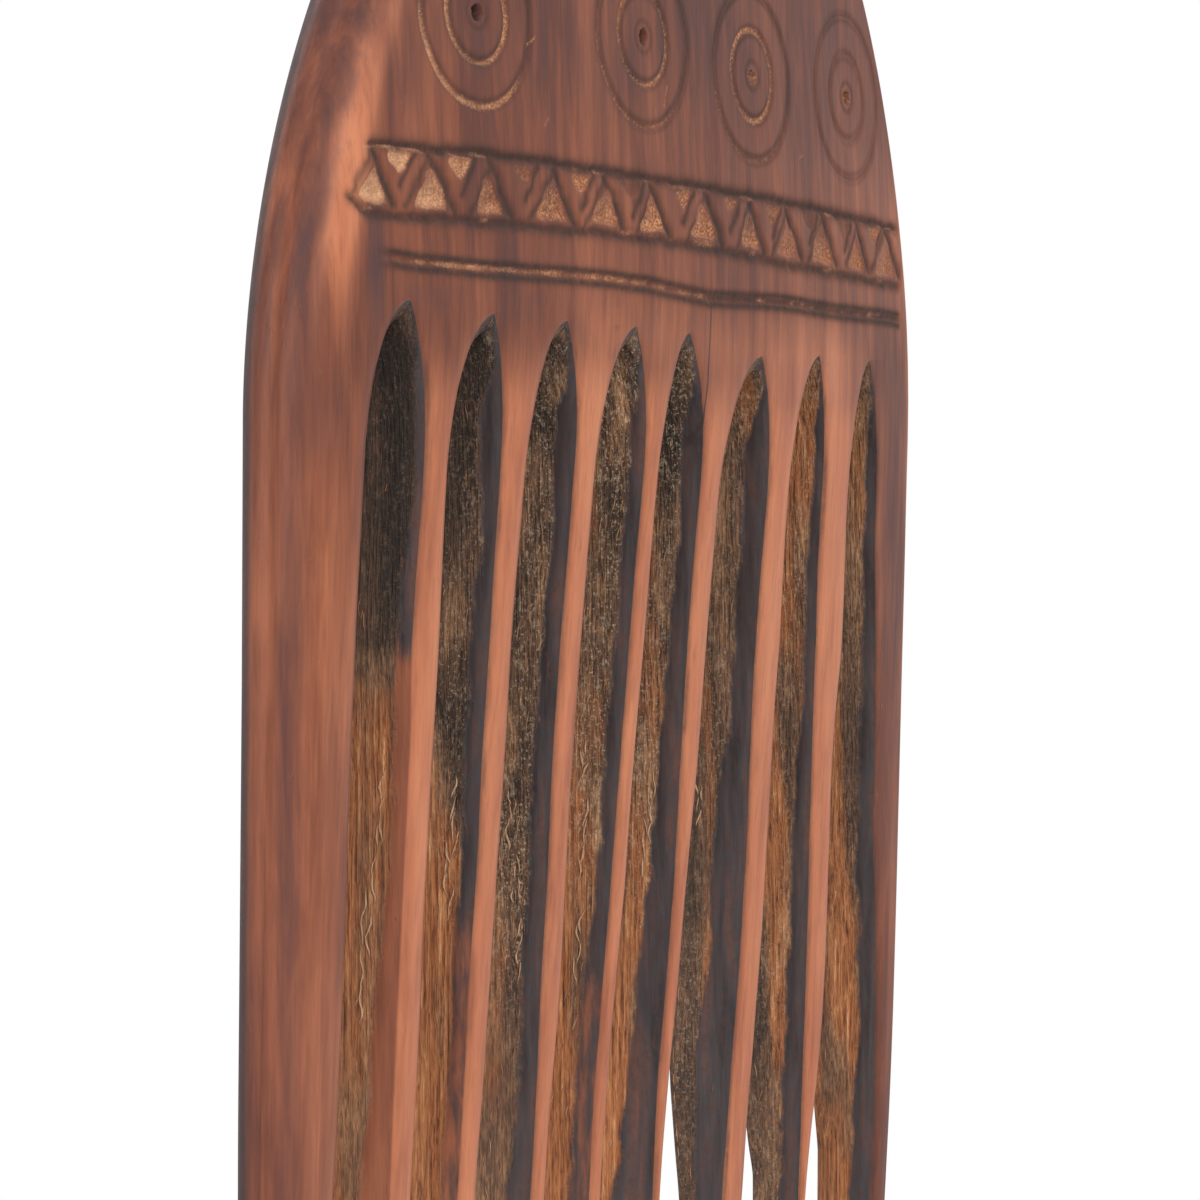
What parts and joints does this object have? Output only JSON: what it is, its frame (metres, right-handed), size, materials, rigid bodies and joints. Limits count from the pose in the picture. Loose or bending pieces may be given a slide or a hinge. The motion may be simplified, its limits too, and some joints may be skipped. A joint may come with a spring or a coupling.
{
  "type": "figural comb",
  "caption": "Carved wooden comb: a domed panel with long pointed tines below and a ringed neck with a small head and a fan of hair above.",
  "frame": {"origin": "under the tine tips, in the middle of the width and of the depth", "axes": "+Z from the tips to the head, -Y out of the carved front, +Y out of the flat back, +X to the right seen from the front"},
  "size_m": [0.0824, 0.01, 0.1795],
  "materials": {
    "wood": "hand-rubbed, with burnt slots"
  },
  "bodies": {
    "root": {"comb": "wood"}
  },
  "joints": []
}
